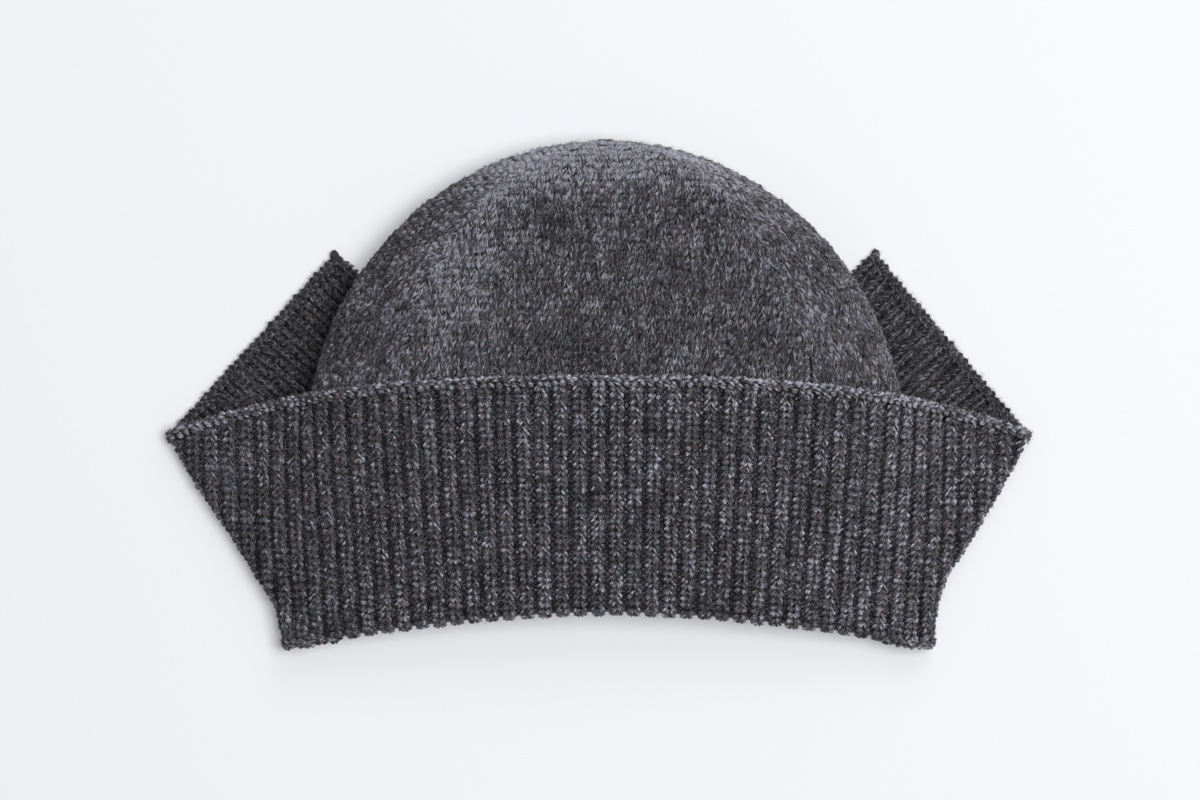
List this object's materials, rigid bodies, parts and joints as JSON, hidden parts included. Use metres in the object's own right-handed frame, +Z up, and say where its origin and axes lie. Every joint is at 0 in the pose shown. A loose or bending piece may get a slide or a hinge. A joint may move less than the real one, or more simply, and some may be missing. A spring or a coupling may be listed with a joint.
{
  "type": "knitted earflap hat",
  "caption": "Soft knitted hat with a round jersey crown and a wide ribbed band turned up in front, whose ends fold behind it as ear flaps.",
  "frame": {"origin": "middle of the hat's footprint, on the surface that it lies on", "axes": "+Z up from the surface, +Y from the mouth of the hat towards the top of the crown, +X along the turned-up band"},
  "size_m": [0.3264, 0.1914, 0.0407],
  "materials": {
    "jersey_knit": "heathered charcoal wool, plain jersey knit, matt and slightly fuzzy",
    "rib_knit": "heathered charcoal wool, one by one rib, matt and slightly fuzzy"
  },
  "bodies": {
    "root": {"crown": "jersey_knit", "ear_flap_band": "rib_knit"}
  },
  "joints": []
}
